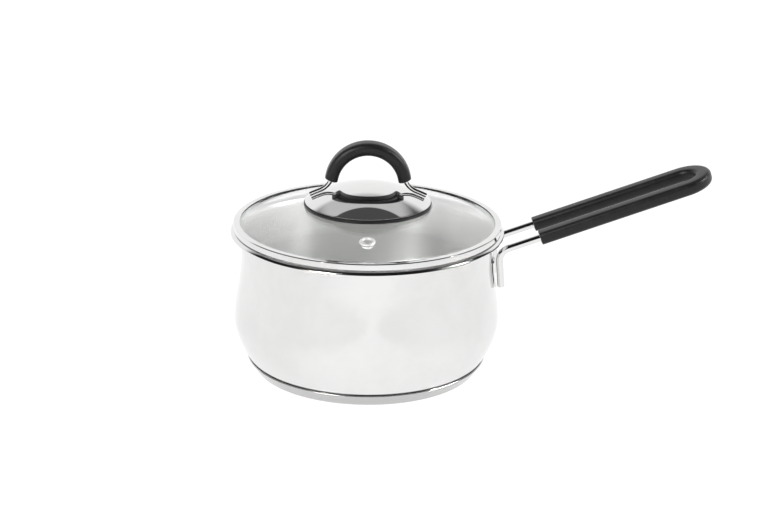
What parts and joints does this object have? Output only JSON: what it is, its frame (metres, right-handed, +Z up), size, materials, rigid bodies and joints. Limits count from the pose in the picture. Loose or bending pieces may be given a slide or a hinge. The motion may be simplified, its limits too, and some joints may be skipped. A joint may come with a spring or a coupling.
{
  "type": "saucepan with glass lid",
  "caption": "Bellied stainless steel saucepan with a long wire loop handle in a black silicone sleeve, and a lift-off domed glass lid with a steel rim, steam vent and sleeved arch handle.",
  "frame": {"origin": "centre of the pan's underside, on the surface it stands on", "axes": "+Z up along the pan's axis, +X towards the long handle's end"},
  "size_m": [0.3041, 0.172, 0.1469],
  "materials": {
    "polished_steel": "mirror polished stainless steel",
    "satin_steel": "satin stainless steel base",
    "aluminium": "plain aluminium",
    "black_silicone": "satin moulded silicone",
    "clear_glass": "clear tempered glass"
  },
  "bodies": {
    "pan": {"pot_body": "polished_steel", "base_core": "aluminium", "base_cap": "satin_steel", "handle_bracket": "polished_steel", "handle_rod": "polished_steel", "handle_grip": "black_silicone"},
    "lid": {"lid_glass": "clear_glass", "lid_band": "polished_steel", "vent_eyelet": "polished_steel", "rosette_gasket": "black_silicone", "rosette": "polished_steel", "rosette_nut": "satin_steel", "knob_screw": "polished_steel", "screw_washer": "polished_steel", "screw_seal": "black_silicone", "lid_handle_rod": "polished_steel", "lid_handle_grip": "black_silicone"}
  },
  "joints": [
    {"name": "lid_lift", "type": "slide", "parent": "pan", "child": "lid", "axis": [0, 0, 1], "range_m": [0, 0.12]}
  ]
}
